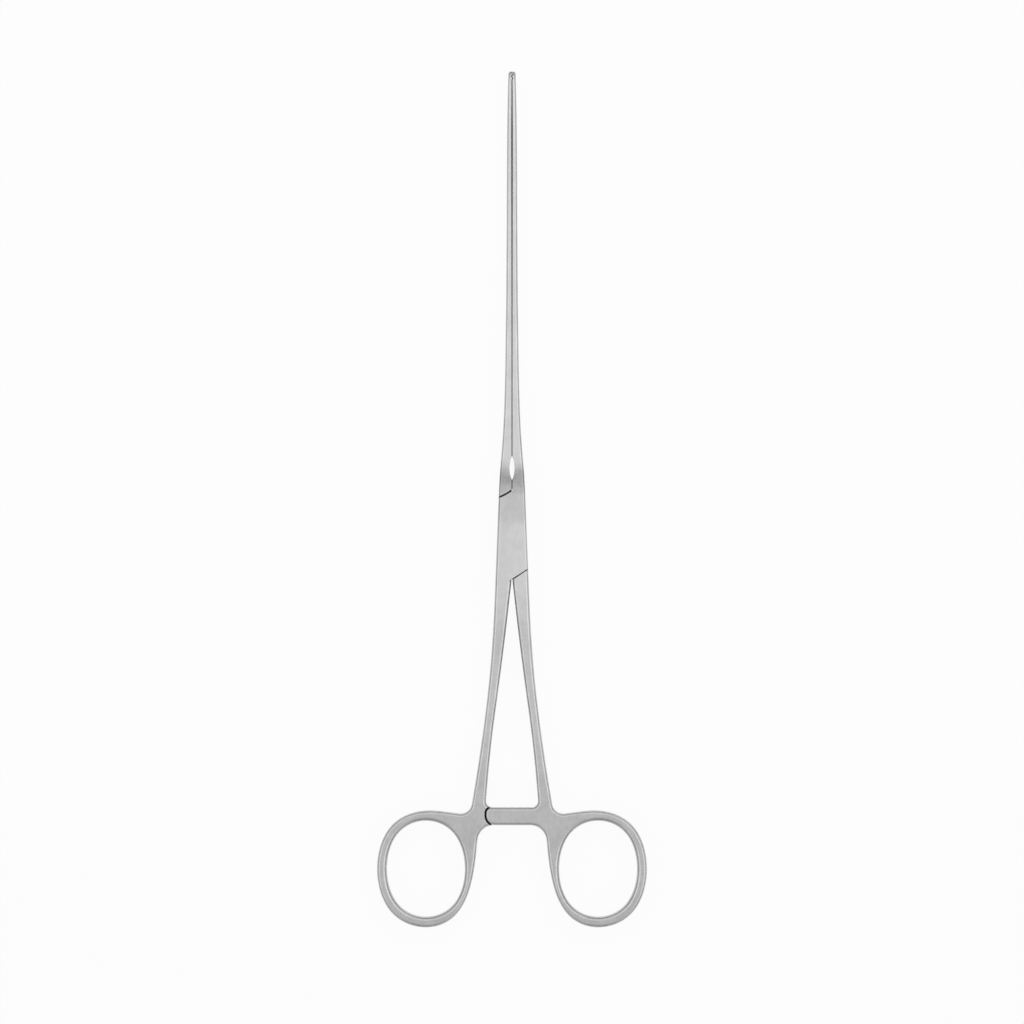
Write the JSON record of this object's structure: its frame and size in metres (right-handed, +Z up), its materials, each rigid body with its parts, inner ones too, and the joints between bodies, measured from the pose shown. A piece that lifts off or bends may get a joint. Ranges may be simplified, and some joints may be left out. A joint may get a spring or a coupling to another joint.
{
  "type": "intestinal clamp",
  "caption": "Long straight clamp with slim grooved jaws, toothed tips, a box lock, ratchet arms and finger rings, lying closed.",
  "frame": {"origin": "centre of the clamp's footprint, on the surface that it lies on", "axes": "+Y from the finger rings to the jaw tips, +X to the right seen from the front, +Z up out of the front face"},
  "size_m": [0.0756, 0.24, 0.0064],
  "materials": {
    "satin_steel": "satin",
    "pin_steel": "satin"
  },
  "bodies": {
    "female_side": {"female_half": "satin_steel", "lock_pin": "pin_steel"},
    "male_side": {"male_half": "satin_steel"}
  },
  "joints": [
    {"name": "box_lock", "type": "hinge", "parent": "female_side", "child": "male_side", "pos_m": [0, -0.0097, 0.0032], "axis": [0, 0, 1], "range_deg": [0, 45]}
  ]
}
